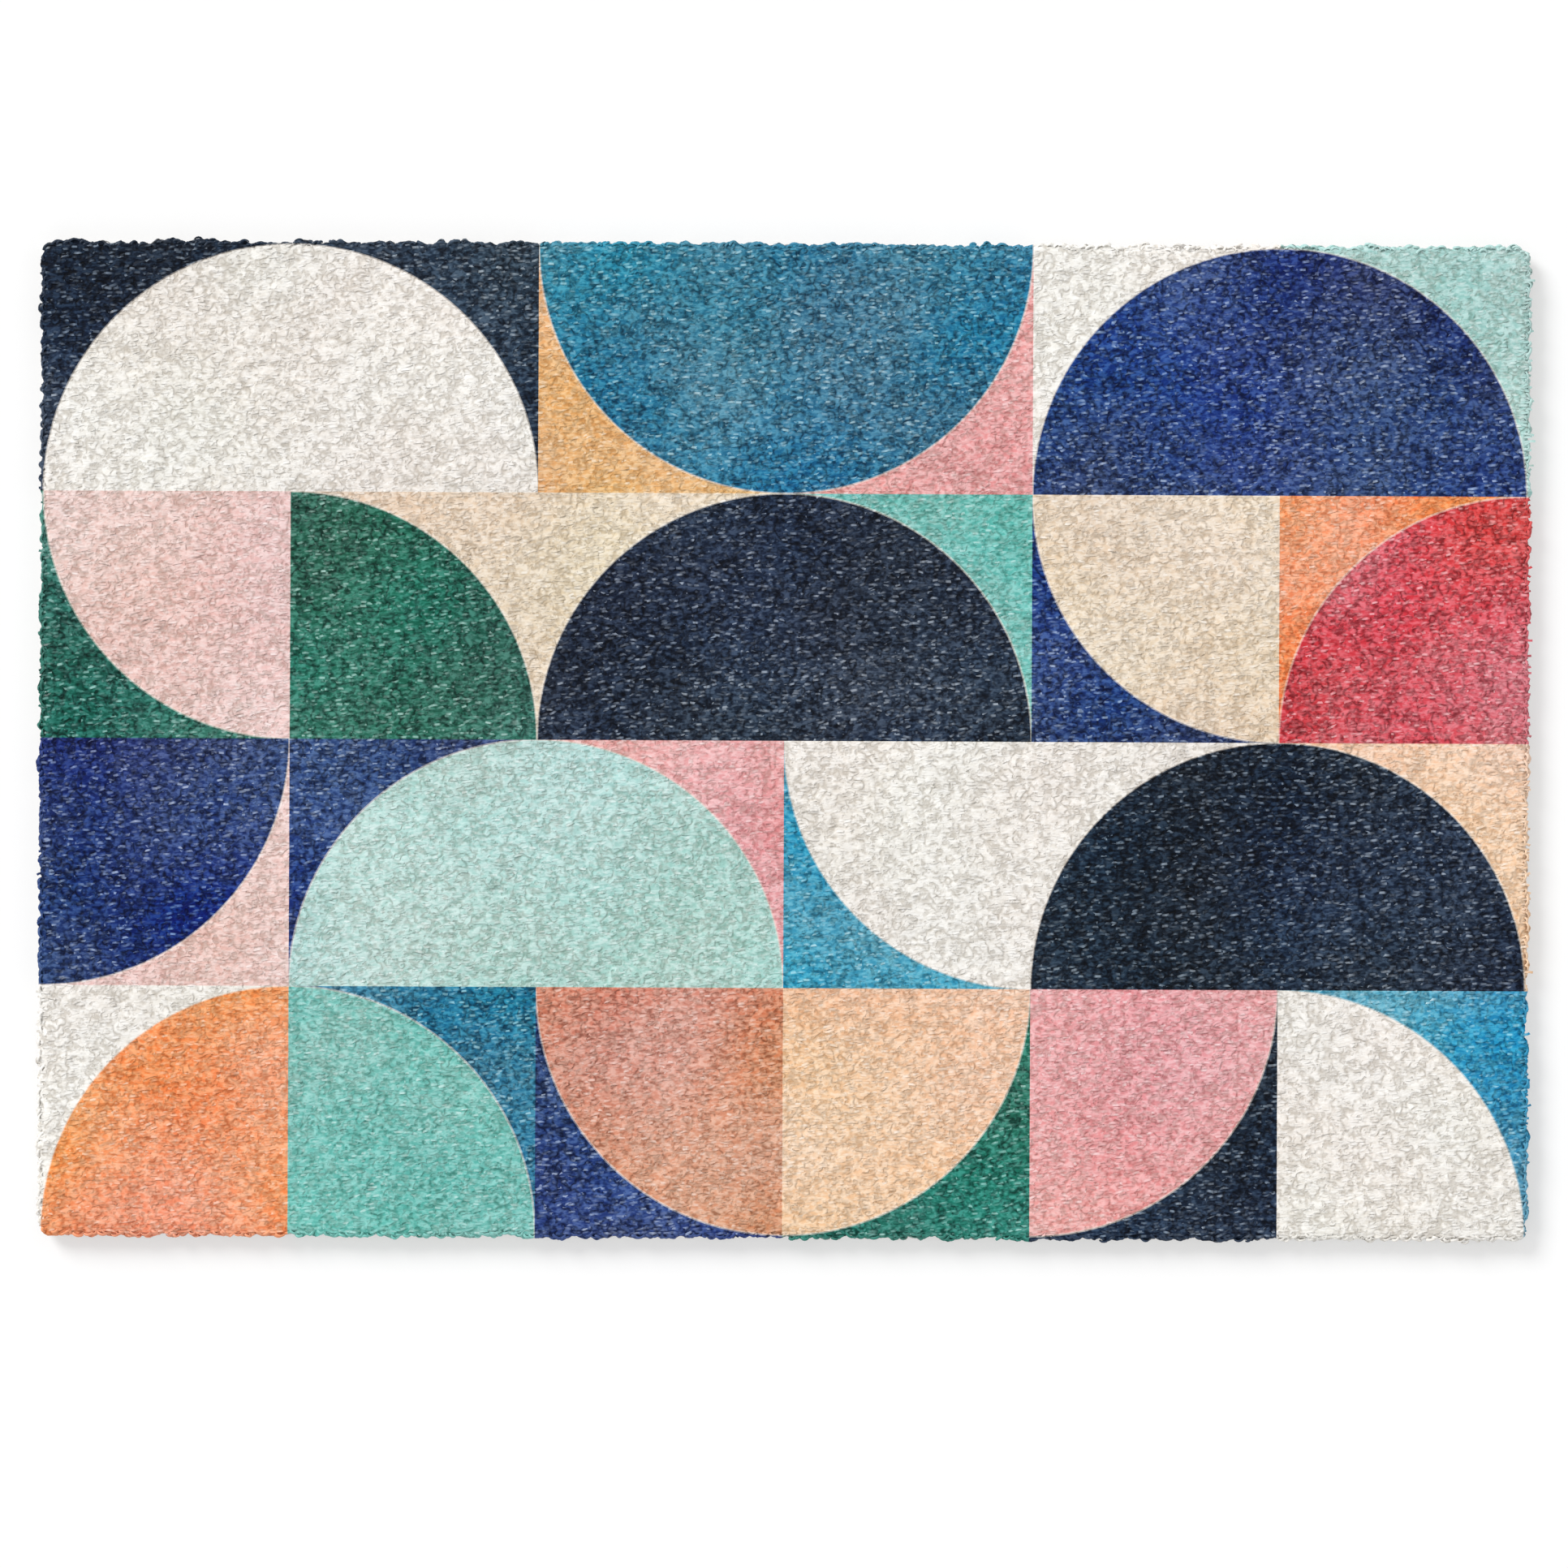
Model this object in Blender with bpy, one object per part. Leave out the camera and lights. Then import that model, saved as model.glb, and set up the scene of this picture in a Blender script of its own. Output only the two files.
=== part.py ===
"""Doormat with a looped pile, lying flat: one slab with a lumpy top and a rim of uneven loops.

Metres, +Z up. The mat rests on z = 0, its long side along X, its middle over the origin.
"""

import math
from collections import namedtuple

import bmesh
import bpy
from mathutils import Vector, noise

# Size to which the mat is cut, without the loops that lean out past the cut
CUT_LENGTH = 0.600
CUT_WIDTH = 0.400
CORNER_RADIUS = 0.005

# Heights above the floor of the cut backing and of the highest loops
BACKING_TOP = 0.0022
PILE_TOP = 0.010

# Rim of the pile: how far its loops lean out past the cut, and how unevenly
LEAN = 0.0021
RIM_STEP = 0.003
RimWave = namedtuple("RimWave", "length height turn")
RIM_WAVES = (
    RimWave(length=0.047, height=0.00030, turn=0.4),
    RimWave(length=0.0163, height=0.00045, turn=2.1),
    RimWave(length=0.0097, height=0.00050, turn=4.4),
)
# Loops that stand out further than their neighbours
STRAY_REACH = 0.0014
STRAY_SPACING = 0.061
STRAY_WIDTH = 0.008

# Section of the rim from the floor up: its height, its share of the lean, and its
# share of the unevenness. Below zero the section is rolled in over the top.
RimRow = namedtuple("RimRow", "height lean uneven")
RIM_ROWS = (
    RimRow(height=0.0, lean=0.0, uneven=0.0),
    RimRow(height=BACKING_TOP, lean=0.35, uneven=0.4),
    RimRow(height=0.0064, lean=1.0, uneven=1.0),
    RimRow(height=0.0087, lean=0.4, uneven=1.0),
    RimRow(height=0.0095, lean=-1.3, uneven=0.8),
)

# Soft lumps over the top, where loops bunch and part
LUMP_SIZE = 0.013
LUMP_DEPTH = 0.0016
LUMP_LEVEL = 0.25

# The top and the underside are filled from a grid this far in from the cut
GRID_MARGIN = 0.010
TOP_CELLS = (48, 31)
UNDERSIDE_CELLS = (15, 10)

# Mean colour of the printed loops, linear, and their soft shine
PILE_COLOUR = (0.39, 0.34, 0.32, 1.0)
PILE_ROUGHNESS = 0.55


def clear_scene():
    """Remove whatever the file opened with."""
    for thing in list(bpy.data.objects):
        bpy.data.objects.remove(thing, do_unlink=True)


def cut_outline(step):
    """Points and outward directions around the straight-cut mat, with their distance along it."""
    reach_x = CUT_LENGTH / 2 - CORNER_RADIUS
    reach_y = CUT_WIDTH / 2 - CORNER_RADIUS
    quarter = CORNER_RADIUS * math.pi / 2
    # Each side with the corner arc after it, counterclockwise from the lower right
    sides = (
        (Vector((reach_x, -reach_y)), Vector((0, 1)), 2 * reach_y),
        (Vector((reach_x, reach_y)), Vector((-1, 0)), 2 * reach_x),
        (Vector((-reach_x, reach_y)), Vector((0, -1)), 2 * reach_y),
        (Vector((-reach_x, -reach_y)), Vector((1, 0)), 2 * reach_x),
    )
    around = sum(length + quarter for _, _, length in sides)
    count = round(around / step)
    places = []
    for index in range(count):
        distance = around * index / count
        left = distance
        for start, along, length in sides:
            if left < length + quarter:
                break
            left -= length + quarter
        turn = max(0.0, left - length) / CORNER_RADIUS
        sideways = Vector((along.y, -along.x))
        outward = sideways * math.cos(turn) + along * math.sin(turn)
        point = start + along * min(left, length) + outward * CORNER_RADIUS
        places.append((point, outward, distance))
    return places, around


def unevenness(distance, around):
    """How far the rim stands out of its mean line at this distance along it."""
    share = distance / around
    reach = 0.0
    for wave in RIM_WAVES:
        turns = round(around / wave.length)
        reach += wave.height * math.sin(2 * math.pi * turns * share + wave.turn)
    strays = round(around / STRAY_SPACING)
    from_stray = abs(share * strays % 1.0 - 0.5) * around / strays
    return reach + STRAY_REACH * max(0.0, 1.0 - from_stray / (STRAY_WIDTH / 2))


def pile_height(x, y):
    """Height of the lumpy top: level where the loops are highest, lower where they part."""
    bunch = noise.noise(Vector((x, y, 0.0)) / LUMP_SIZE)
    return PILE_TOP - LUMP_DEPTH * max(0.0, LUMP_LEVEL - bunch)


def floor_height(x, y):
    """Height of the flat underside."""
    return 0.0


def rim_ring(bm, row, places, around):
    """One ring of vertices around the mat at a row of the rim's section."""
    ring = []
    for point, outward, distance in places:
        out = LEAN * row.lean + unevenness(distance, around) * row.uneven
        spot = point + outward * out
        ring.append(bm.verts.new((spot.x, spot.y, row.height)))
    return ring


def skin_between(bm, lower, upper):
    """Quads between two rings with the same number of vertices."""
    count = len(lower)
    for index in range(count):
        after = (index + 1) % count
        bm.faces.new((lower[index], lower[after], upper[after], upper[index]))


def fill_ring(bm, ring, cells, height_at):
    """Close a ring: a grid in the middle, and triangles from the grid out to the ring."""
    half_x = CUT_LENGTH / 2 - GRID_MARGIN
    half_y = CUT_WIDTH / 2 - GRID_MARGIN
    cells_x, cells_y = cells
    rows = []
    for j in range(cells_y + 1):
        y = half_y * (2 * j / cells_y - 1)
        across = [half_x * (2 * i / cells_x - 1) for i in range(cells_x + 1)]
        rows.append([bm.verts.new((x, y, height_at(x, y))) for x in across])
    grid = []
    for j in range(cells_y):
        for i in range(cells_x):
            corners = (rows[j][i], rows[j][i + 1], rows[j + 1][i + 1], rows[j + 1][i])
            grid.append(bm.faces.new(corners))
    grid_rim = [edge for face in grid for edge in face.edges if len(edge.link_faces) == 1]
    count = len(ring)
    ring_edges = [bm.edges.get((ring[i], ring[(i + 1) % count])) for i in range(count)]
    bmesh.ops.triangle_fill(bm, use_beauty=True, edges=ring_edges + grid_rim)


def centre_on_origin(bm):
    """Shift the mat so that the box around it is centred over the origin."""
    for axis in (0, 1):
        low = min(vert.co[axis] for vert in bm.verts)
        high = max(vert.co[axis] for vert in bm.verts)
        for vert in bm.verts:
            vert.co[axis] -= (low + high) / 2


def pile_material():
    """Printed loops of soft vinyl, in the mean colour of the print."""
    material = bpy.data.materials.new("looped_pile")
    material.use_nodes = True
    shader = material.node_tree.nodes["Principled BSDF"]
    shader.inputs["Base Color"].default_value = PILE_COLOUR
    shader.inputs["Roughness"].default_value = PILE_ROUGHNESS
    shader.inputs["Metallic"].default_value = 0.0
    return material


def add_mat():
    """The mat: a flat underside, an uneven rim that leans out, and a lumpy top."""
    places, around = cut_outline(RIM_STEP)
    bm = bmesh.new()
    rings = [rim_ring(bm, row, places, around) for row in RIM_ROWS]
    for lower, upper in zip(rings, rings[1:]):
        skin_between(bm, lower, upper)
    fill_ring(bm, rings[0], UNDERSIDE_CELLS, floor_height)
    fill_ring(bm, rings[-1], TOP_CELLS, pile_height)
    bmesh.ops.recalc_face_normals(bm, faces=bm.faces)
    centre_on_origin(bm)
    mesh = bpy.data.meshes.new("mat")
    bm.to_mesh(mesh)
    bm.free()
    mesh.shade_smooth()
    mesh.set_sharp_from_angle(angle=math.radians(50))
    mesh.materials.append(pile_material())
    mat = bpy.data.objects.new("mat", mesh)
    bpy.context.collection.objects.link(mat)


clear_scene()
add_mat()
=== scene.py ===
"""Doormat of curled vinyl strands: a cut sheet of backing, the matted pile bonded to it, the
single strands that arch out of the pile, and the strands that lie on the cut edge.

The strands are printed from above with a plain quilter's pattern of quarter circles.
"""

import math
from collections import namedtuple

import bpy
import numpy as np
from bpy.props import FloatProperty, FloatVectorProperty, IntProperty, PointerProperty
from mathutils import Matrix, Vector, noise


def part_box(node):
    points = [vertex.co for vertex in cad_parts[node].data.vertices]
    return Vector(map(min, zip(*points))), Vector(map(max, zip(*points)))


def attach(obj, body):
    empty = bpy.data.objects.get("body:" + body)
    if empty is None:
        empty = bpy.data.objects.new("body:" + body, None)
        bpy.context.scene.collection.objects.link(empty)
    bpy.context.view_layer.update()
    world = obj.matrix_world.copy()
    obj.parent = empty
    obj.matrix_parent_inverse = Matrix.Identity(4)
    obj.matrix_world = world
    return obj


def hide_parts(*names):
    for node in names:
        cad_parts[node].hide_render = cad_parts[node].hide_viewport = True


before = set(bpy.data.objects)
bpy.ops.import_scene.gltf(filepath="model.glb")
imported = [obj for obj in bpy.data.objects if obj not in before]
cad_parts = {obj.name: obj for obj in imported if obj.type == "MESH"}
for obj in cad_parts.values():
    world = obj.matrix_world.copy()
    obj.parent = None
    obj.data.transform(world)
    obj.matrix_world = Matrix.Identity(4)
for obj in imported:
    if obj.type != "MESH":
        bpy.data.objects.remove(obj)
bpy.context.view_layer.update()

bl_info = {
    "name": "Curled Strand Doormat",
    "version": (1, 0, 0),
    "blender": (4, 5, 0),
    "location": "3D View > Sidebar > Doormat",
    "description": "Builds a printed doormat of curled vinyl strands with its studio",
    "category": "Add Mesh",
}

MM = 0.001
WHITE = (1, 1, 1, 1)
MAT_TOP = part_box("mat")[1].z

# The print's squares, from the upper left: the ink of the ground, the ink of the
# quarter circle on it, and the corner that the quarter circle is drawn from
CHART = (
    "slate ivory se, slate ivory sw, gold teal ne, pink teal nw, ivory navy se, mint navy sw",
    "green blush ne, cream green sw, cream slate se, aqua slate sw, navy cream ne, orange red se",
    "blush navy nw, navy mint se, pink mint sw, sky ivory ne, ivory slate se, peach slate sw",
    "ivory orange se, teal aqua sw, navy tan ne, green peach nw, slate pink nw, sky ivory sw",
)
SQUARES = [square.split() for row in CHART for square in row.split(", ")]
CHART_ROWS = len(CHART)
CHART_COLUMNS = len(SQUARES) // CHART_ROWS
CORNERS = {"nw": (0, 0), "ne": (1, 0), "sw": (0, 1), "se": (1, 1)}

# Curls that are modelled once and copied. Lengths are in mm, angles in degrees.
# rise: how steeply the strand leaves the pile; bends: how far it turns over each step;
# steps: the length of each step; bow: how far the finished curl is bent in plan; share: of
# all curls
Curl = namedtuple("Curl", "rise bends steps bow share")
PILE_CURLS = {
    "dash": Curl(51, (34, 34, 34), (1.0, 1.3, 1.0), 0, 0.38),
    "bowed_dash": Curl(54, (36, 18, 18, 36), (1.0, 1.0, 1.0, 1.0), 65, 0.20),
    "counter_dash": Curl(54, (36, 18, 18, 36), (1.0, 1.0, 1.0, 1.0), -60, 0.18),
    "long_dash": Curl(54, (40, 14, 14, 40), (1.1, 1.4, 1.4, 1.1), 25, 0.12),
    "bead": Curl(60, (60, 60), (1.0, 1.0), 0, 0.12),
}
RIM_CURLS = {
    "coil": Curl(60, (30, 30, 30, 30), (0.9, 0.9, 0.9, 0.9), 50, 0.30),
    "counter_coil": Curl(60, (30, 30, 30, 30), (0.9, 0.9, 0.9, 0.9), -50, 0.28),
    "sweep": Curl(50, (20, 20, 20, 20, 20), (0.9, 1.0, 1.0, 1.0, 0.9), 25, 0.24),
    "knuckle": Curl(66, (44, 44, 44), (0.8, 0.9, 0.8), 0, 0.18),
}
STRAY_CURLS = {
    "arch": Curl(54, (36, 18, 18, 36), (1.0, 1.1, 1.1, 1.0), 40, 0.6),
    "long_arch": Curl(60, (40, 20, 20, 40), (1.2, 1.2, 1.2, 1.2), -30, 0.4),
}
# Strands on the rim are rounder, because they are seen from close by and from the side
STRAND_SIDES = 3
RIM_STRAND_SIDES = 8
# How far strands in the pile, on the rim and straying from the rim are stretched along,
# across and up
LAID = (1.12, 1.06, 0.28)
RIM = (0.85, 1.2, 0.9)
STRAY = (0.8, 1.3, 1.0)
# The smallest and the largest copy of a curl
SIZES = (0.88, 1.14)


def hex_to_linear(text):
    """A colour written as sRGB hex, as the linear RGBA that shaders and lamps take."""
    shares = [int(text[place:place + 2], 16) / 255 for place in (0, 2, 4)]
    bent = [s / 12.92 if s <= 0.04045 else ((s + 0.055) / 1.055) ** 2.4 for s in shares]
    return (*bent, 1.0)


def colour(text, name, description="Ink of the print, as it looks on the strands"):
    """A colour that a user can change, from sRGB hex."""
    return FloatVectorProperty(
        name=name, description=description, default=hex_to_linear(text), subtype="COLOR", size=4
    )


def distance(name, description, metres):
    """A length that a user can change."""
    return FloatProperty(name=name, description=description, default=metres, unit="LENGTH")


class DoormatColours(bpy.types.PropertyGroup):
    """Inks of the print, and the vinyl where no ink lies"""

    navy: colour("2a4786", "Navy")
    slate: colour("27384e", "Slate")
    teal: colour("2680a5", "Teal")
    sky: colour("49a8c9", "Sky")
    aqua: colour("79c4bd", "Aqua")
    mint: colour("b4d8d5", "Mint")
    green: colour("318071", "Green")
    cream: colour("e8dac6", "Cream")
    ivory: colour("edebe7", "Ivory")
    peach: colour("efcdb0", "Peach")
    blush: colour("e9ccc9", "Blush")
    pink: colour("e7acac", "Pink")
    red: colour("d75257", "Red")
    orange: colour("f09b62", "Orange")
    gold: colour("e6b980", "Gold")
    tan: colour("d6997c", "Tan")
    hair: colour("eee8e0", "Bare hair", "Vinyl that shows where two inks meet on a curve")
    bare: colour("d9d6d1", "Bare strands", "Milky vinyl low on the cut edge")
    backing_dark: colour("c4c2bd", "Backing, dark", "Darkest vinyl of the backing sheet")
    backing_pale: colour("d2d0cb", "Backing, pale", "Palest vinyl of the backing sheet")


class DoormatCut(bpy.types.PropertyGroup):
    """How the mat is cut, and how high its layers lie"""

    length: distance("Cut length", "Long side of the cut sheet", 0.600)
    width: distance("Cut width", "Short side of the cut sheet", 0.400)
    corner: distance("Corner radius", "Radius of the four corners", 0.005)
    backing: distance("Backing thickness", "Thickness of the vinyl sheet", 0.0022)
    bed_top: distance("Bed top", "Mean height of the matted pile", 0.0085)
    pile_top: distance("Pile top", "Height of the highest strands", MAT_TOP)


class DoormatPile(bpy.types.PropertyGroup):
    """The pile and the single strands that arch out of it"""

    strand: distance("Strand", "Thickness of a strand", 0.00095)
    pitch_along: distance("Pitch along", "Space from curl to curl in a row", 0.0030)
    pitch_across: distance("Pitch across", "Space from row to row", 0.0016)
    slope: FloatProperty(
        name="Slope", description="How far the rows of strand rise to the right",
        default=math.radians(5), subtype="ANGLE",
    )
    scatter: FloatProperty(
        name="Scatter", description="How far a curl may turn out of its row",
        default=math.radians(8), subtype="ANGLE",
    )
    clump: distance("Clump", "Size of the clumps in the pile", 0.0085)
    clump_depth: distance("Dip depth", "How far the pile dips between clumps", 0.0005)
    strips: IntProperty(
        name="Strips", description="Pieces that the curls are joined into", default=6
    )
    seed: IntProperty(name="Seed", description="Start of the random draws", default=7)


class DoormatRim(bpy.types.PropertyGroup):
    """The strands on the cut edge, and the few that stray out from it"""

    pitch: distance("Pitch", "Space from strand to strand along the edge", 0.0027)
    rows: IntProperty(
        name="Rows", description="Rows of strands from the foot of the edge up", default=6
    )
    stray_pitch: distance("Stray pitch", "Mean space between strands that stray out", 0.05)
    seed: IntProperty(name="Seed", description="Start of the random draws", default=19)


class DoormatStudio(bpy.types.PropertyGroup):
    """Floor, light and camera"""

    view_width: distance("View width", "Width of the floor that the picture takes in", 0.6337)
    centre: FloatVectorProperty(
        name="Mat in the picture",
        description="Where the mat's middle lies, in pixels of a 1932 px picture",
        default=(966.2, 912.8), size=2,
    )
    roll: FloatProperty(
        name="Roll", description="How far the mat lies turned clockwise",
        default=math.radians(0.26), subtype="ANGLE",
    )
    key: FloatProperty(name="Key", description="Strength of the soft key light", default=2.2)
    fill: FloatProperty(name="Fill", description="Strength of the light all round", default=0.79)
    paper: colour("cfcfcf", "Paper", "Seamless paper that the mat lies on")


def add_node(tree, kind, inputs=(), output=None, **settings):
    """Adds a node with its settings and gives back its output, the first that it shows if none
    is named. Inputs come in the order in which it shows them, or by name, and are linked where
    a socket is given and set elsewhere."""
    made = tree.nodes.new("ShaderNode" + kind)
    for name, value in settings.items():
        setattr(made, name, value)
    if isinstance(inputs, dict):
        pairs = [(made.inputs[name], value) for name, value in inputs.items()]
    else:
        pairs = zip([socket for socket in made.inputs if socket.enabled], inputs)
    for socket, value in pairs:
        if isinstance(value, bpy.types.NodeSocket):
            tree.links.new(value, socket)
        else:
            socket.default_value = value
    if output:
        return made.outputs[output]
    return next(socket for socket in made.outputs if socket.enabled)


def new_material(name):
    """An empty material, with its tree and its shader."""
    material = bpy.data.materials.new(name)
    material.use_nodes = True
    return material, material.node_tree, material.node_tree.nodes["Principled BSDF"]


# A value that drifts over the mat. patch: the size of its patches; ragged: the detail of their
# borders; apart: where in the noise it is taken, so that it goes its own way; noise: the values
# of the noise between which it changes; values: what it is below and above them
Drift = namedtuple("Drift", "patch ragged apart noise values")
# Ink laid on thicker here and thinner there changes dark fields more than pale ones
INK_THICKNESS = Drift(120 * MM, 1.0, (0, 0, 0), (0.3, 0.7), (0.82, 1.2))
# The inks run into each other a little, so a field is greener here and more violet there
INK_HUE = Drift(140 * MM, 1.0, (3, 1, 0), (0.3, 0.7), (0.484, 0.513))
INK_STRENGTH = Drift(70 * MM, 1.0, (3, 1, 0), (0.3, 0.7), (0.82, 1.06))
# Pale fields are whiter here and warmer there
WARMTH = Drift(55 * MM, 1.0, (7, 2, 0), (0.35, 0.65), (0, 1))
COOL_TINT = (0.987, 0.985, 0.972, 1)
WARM_TINT = (0.987, 0.955, 0.933, 1)
# Crevices come and go, and small pits lie between them
CREVICE_DEPTH = Drift(5 * MM, 2.0, (1, 4, 0), (0.4, 0.55), (0, 1))
PIT_DEPTH = Drift(2.4 * MM, 2.0, (1, 4, 0), (0.35, 0.47), (0.8, 0))


def drifting(tree, spot, drift):
    """A value that drifts over the mat."""
    place = add_node(tree, "VectorMath", (spot, drift.apart), operation="ADD")
    found = add_node(tree, "TexNoise", (place, 1 / drift.patch, drift.ragged))
    return add_node(tree, "MapRange", (found, *drift.noise, *drift.values))


def read_chart(tree, place, values):
    """The value of the chart's square at this place, which runs from 0 to 1 over them all."""
    found = add_node(tree, "ValToRGB", (place,))
    stops = found.node.color_ramp
    stops.interpolation = "CONSTANT"
    while len(stops.elements) < len(values):
        stops.elements.new(1.0)
    for index in range(len(values)):
        stops.elements[index].position = index / len(values)
    for index, value in enumerate(values):
        stops.elements[index].color = value
    return found


# How far inside the last square or face a point past it is taken, as a share of its side
INSET = 0.001
# Where a quarter circle ends and half the width of the bare hair round it, as shares too
ARC_END = (1.001, 0.998)
HALF_HAIR = 0.0045
HAIR_SHOWS = 0.4
# The heights at which the ink ends and at which it is whole
INK_REACHES = (3.6 * MM, 6.0 * MM)


def printed_colour(tree, scene):
    """The print: squares with a quarter circle each, inks that drift a little, and a bare hair
    of vinyl round each circle."""
    cut, colours = scene.doormat_cut, scene.doormat_colours
    spot = add_node(tree, "TexCoord", output="Object")
    # Squares counted to the right and down from the mat's upper left corner
    corner = (CHART_COLUMNS / 2, CHART_ROWS / 2, 0)
    to_squares = (CHART_COLUMNS / cut.length, -CHART_ROWS / cut.width, 0)
    squares = add_node(tree, "Mapping", (spot, corner, (0, 0, 0), to_squares))
    # Strands past the edge keep the ink of the square beside them
    held = add_node(tree, "VectorMath", (squares, (INSET, INSET, 0)), operation="MAXIMUM")
    far = (CHART_COLUMNS - INSET, CHART_ROWS - INSET, 0)
    held = add_node(tree, "VectorMath", (held, far), operation="MINIMUM")
    square = add_node(tree, "VectorMath", (held,), operation="FLOOR")
    steps = (1, CHART_COLUMNS, 0)
    number = add_node(tree, "VectorMath", (square, steps), operation="DOT_PRODUCT")
    place = add_node(tree, "MapRange", (number, -0.5, len(SQUARES) - 0.5))
    ground = read_chart(tree, place, [getattr(colours, name) for name, _, _ in SQUARES])
    disc = read_chart(tree, place, [getattr(colours, name) for _, name, _ in SQUARES])
    centre = read_chart(tree, place, [(*CORNERS[name], 0, 1) for _, _, name in SQUARES])
    inside = add_node(tree, "VectorMath", (squares, square), operation="SUBTRACT")
    reach = add_node(tree, "VectorMath", (inside, centre), operation="DISTANCE")
    covered = add_node(tree, "MapRange", (reach, *ARC_END))
    ink = add_node(tree, "Mix", (covered, ground, disc), data_type="RGBA")
    # Where two inks meet on a curve they leave a hair of bare vinyl
    on_hair = add_node(tree, "Math", (reach, 1.0, HALF_HAIR), operation="COMPARE")
    on_hair = add_node(tree, "Math", (on_hair, HAIR_SHOWS), operation="MULTIPLY")
    ink = add_node(tree, "Mix", (on_hair, ink, colours.hair), data_type="RGBA")
    ink = add_node(tree, "Gamma", (ink, drifting(tree, spot, INK_THICKNESS)))
    hue, strength = drifting(tree, spot, INK_HUE), drifting(tree, spot, INK_STRENGTH)
    ink = add_node(tree, "HueSaturation", {"Color": ink, "Hue": hue, "Saturation": strength})
    warmth = drifting(tree, spot, WARMTH)
    tint = add_node(tree, "Mix", (warmth, COOL_TINT, WARM_TINT), data_type="RGBA")
    ink = add_node(tree, "Mix", (1.0, ink, tint), data_type="RGBA", blend_type="MULTIPLY")
    # The press only reached the top: lower down the cut edge the vinyl is bare and milky
    height = add_node(tree, "SeparateXYZ", (spot,), output="Z")
    reached = add_node(tree, "MapRange", (height, *INK_REACHES))
    return add_node(tree, "Mix", (reached, colours.bare, ink), data_type="RGBA")


# What is left of the light in the deepest crevice, on a dark and on a pale ink, and how bright
# those inks are
DARK_CREVICE = (0.12, 0.12, 0.15, 1)
PALE_CREVICE = (0.67, 0.645, 0.61, 1)
DARK_TO_PALE = (0.05, 0.42)


def in_shade(tree, ink, shade):
    """The ink, darkened by a shade that is 0 in the deepest crevice and 1 in full light. Pale
    vinyl lets light through, so its crevices stay pale and warm, and dark ones go black."""
    brightness = add_node(tree, "RGBToBW", (ink,))
    paleness = add_node(tree, "MapRange", (brightness, *DARK_TO_PALE))
    deepest = add_node(tree, "Mix", (paleness, DARK_CREVICE, PALE_CREVICE), data_type="RGBA")
    light = add_node(tree, "Mix", (shade, deepest, WHITE), data_type="RGBA")
    return add_node(tree, "Mix", (1.0, ink, light), data_type="RGBA", blend_type="MULTIPLY")


# A crevice winds along where one noise is at its middle value: the size of its bends, and how
# far from that value it ends
CREVICE_BEND = 3.8 * MM
CREVICE_END = 0.125


def matted_relief(tree, spot):
    """Lumps of matted strand, with pits and with crevices that wind between them and come and
    go. From 0 in a crevice to 1 on a lump."""
    wave = add_node(tree, "TexNoise", (spot, 1 / CREVICE_BEND, 1.0))
    wave = add_node(tree, "Math", (wave, 0.5), operation="SUBTRACT")
    wave = add_node(tree, "Math", (wave,), operation="ABSOLUTE")
    crevice = add_node(tree, "MapRange", (wave, 0.0, CREVICE_END, 1.0, 0.0))
    depth = drifting(tree, spot, CREVICE_DEPTH)
    sunk = add_node(tree, "Math", (crevice, depth), operation="MULTIPLY")
    pit = drifting(tree, spot, PIT_DEPTH)
    sunk = add_node(tree, "Math", (sunk, pit), operation="MAXIMUM")
    return add_node(tree, "Math", (1.0, sunk), operation="SUBTRACT")


def make_soft_vinyl(tree, shader, roughness, shine, evened=0.0):
    """Soft vinyl under a glossy skin. Light that scatters inside it can even out its body, as
    if it faced up by that much more."""
    if evened:
        normal = add_node(tree, "NewGeometry", output="Normal")
        facing = add_node(tree, "VectorMath", (normal, (0, 0, evened)), operation="ADD")
        facing = add_node(tree, "VectorMath", (facing,), operation="NORMALIZE")
        tree.links.new(facing, shader.inputs["Normal"])
    shader.inputs["Specular IOR Level"].default_value = 0.0
    shader.inputs["Roughness"].default_value = roughness
    tree.links.new(shine, shader.inputs["Coat Weight"])
    shader.inputs["Coat Roughness"].default_value = roughness
    shader.inputs["Coat IOR"].default_value = 1.5


# Gamma of the ink on the barest and on the fullest strand, whose low tone is also painted shade
# at its foot, and on a crest where the ink lies thinnest and a painted highlight lies
STRAND_GAMMA = (1.3, 0.92)
THIN_AND_LIT_GAMMA = 0.34
# How sharply a bare crest ends, the share of ink that is missing on it in a dark and in a pale
# field, which makes a paler dash that is partly a painted highlight, and how bright those fields
# are
CREST_EDGE = 2.0
CREST_BARE_AND_LIT = (0.9, 0.6)
CREST_FIELDS = (0.05, 0.4)
# Shade at a strand's foot, and gloss of an inked crest and of a bare one that carries a painted
# highlight
STRAND_SHADE = (0.1, 1.0)
STRAND_GLOSS = (0.25, 1.0)
# Gloss of the darkest and of the palest strand on the rim
RIM_GLOSS = (0.1, 0.6)


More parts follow.
